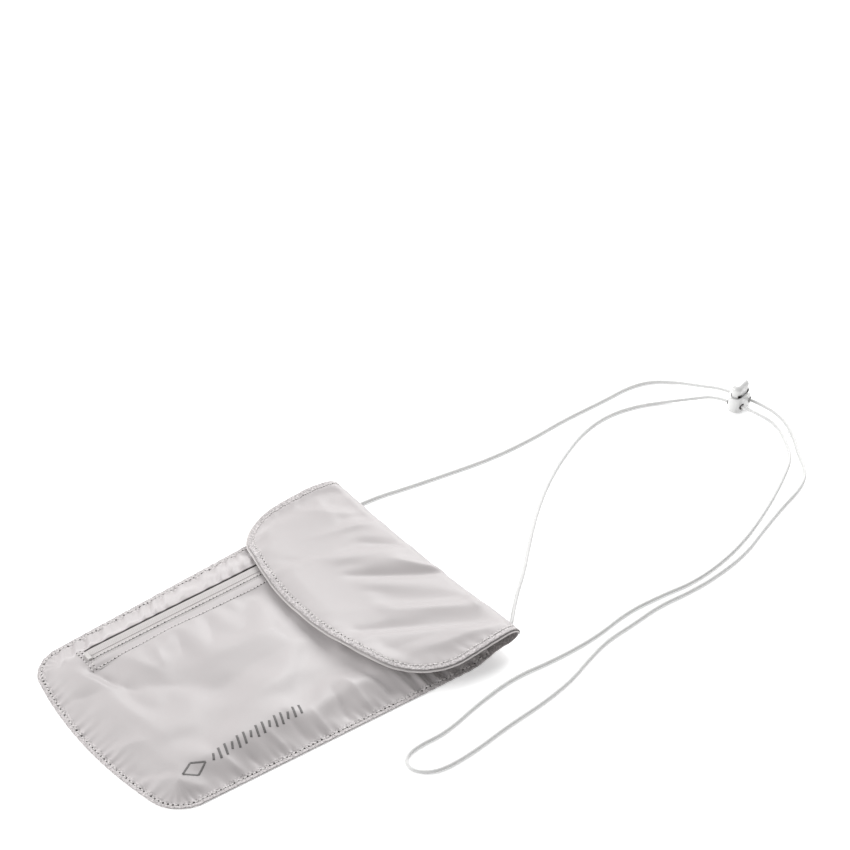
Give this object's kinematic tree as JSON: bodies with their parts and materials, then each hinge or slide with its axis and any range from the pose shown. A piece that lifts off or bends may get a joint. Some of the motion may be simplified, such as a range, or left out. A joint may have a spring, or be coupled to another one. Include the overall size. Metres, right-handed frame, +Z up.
{
  "type": "neck pouch wallet",
  "caption": "Flat nylon travel pouch with a fold-over flap, a zipped front pocket and a neck cord with a sprung cord lock, lying on its back.",
  "frame": {"origin": "middle of the pouch's footprint, on the surface it lies on", "axes": "+Y from the foot of the pouch to the fold of its flap, +Z up out of the front panel, +X to the right seen from the front"},
  "size_m": [0.196, 0.4418, 0.0168],
  "materials": {
    "shell_nylon": "satin woven nylon, pale stone grey",
    "lining_nylon": "thin woven lining, pale grey",
    "zip_tape": "woven polyester tape, pale grey",
    "zip_coil": "nylon coil, pale grey",
    "slider_metal": "enamelled die-cast zinc, pale grey",
    "touch_tape": "hook and loop tape, pale grey",
    "cord_white": "braided round cord, white",
    "lock_plastic": "moulded acetal, white",
    "spring_steel": "drawn steel wire"
  },
  "bodies": {
    "pouch": {"back_panel": "shell_nylon", "front_panel": "shell_nylon", "pocket_liner": "lining_nylon", "mouth_hem": "shell_nylon", "zip_tape_left": "zip_tape", "zip_tape_right": "zip_tape", "zip_coil_left": "zip_coil", "zip_coil_right": "zip_coil", "zip_bottom_stop": "slider_metal", "zip_top_stop": "slider_metal", "loop_patch": "touch_tape", "cord_anchor_left": "shell_nylon", "cord_anchor_right": "shell_nylon", "neck_cord": "cord_white"},
    "fold": {"fold_strip": "shell_nylon"},
    "flap": {"flap_outer": "shell_nylon", "flap_lining": "lining_nylon", "hook_patch": "touch_tape"},
    "slider": {"zip_slider": "slider_metal"},
    "pull": {"pull_tab": "slider_metal"},
    "lock": {"lock_barrel": "lock_plastic", "lock_spring": "spring_steel"},
    "button": {"lock_button": "lock_plastic"}
  },
  "joints": [
    {"name": "fold_hinge", "type": "hinge", "parent": "pouch", "child": "fold", "pos_m": [0, 0.1006, 0.001], "axis": [-1, 0, 0], "range_deg": [0, 75]},
    {"name": "flap_crease", "type": "hinge", "parent": "fold", "child": "flap", "pos_m": [0, 0.1006, 0.0119], "axis": [-1, 0, 0], "range_deg": [0, 75]},
    {"name": "zip_slide", "type": "slide", "parent": "pouch", "child": "slider", "axis": [0, -1, 0], "range_m": [0, 0.1395]},
    {"name": "pull_swing", "type": "hinge", "parent": "slider", "child": "pull", "pos_m": [-0.0445, 0.073, 0.0102], "axis": [0, 0, 1], "range_deg": [-35, 35]},
    {"name": "lock_slide", "type": "slide", "parent": "pouch", "child": "lock", "axis": [0.9659, 0.2588, 0], "range_m": [-0.0015, 0.003]},
    {"name": "button_press", "type": "slide", "parent": "lock", "child": "button", "axis": [0, 0, -1], "range_m": [0, 0.0016], "stiffness_N_per_m": 600, "springref_m": -0.001, "deforming": ["lock_spring"]}
  ],
  "couplings": [
    {"joint": "flap_crease", "follows": "fold_hinge", "ratio": 1}
  ]
}
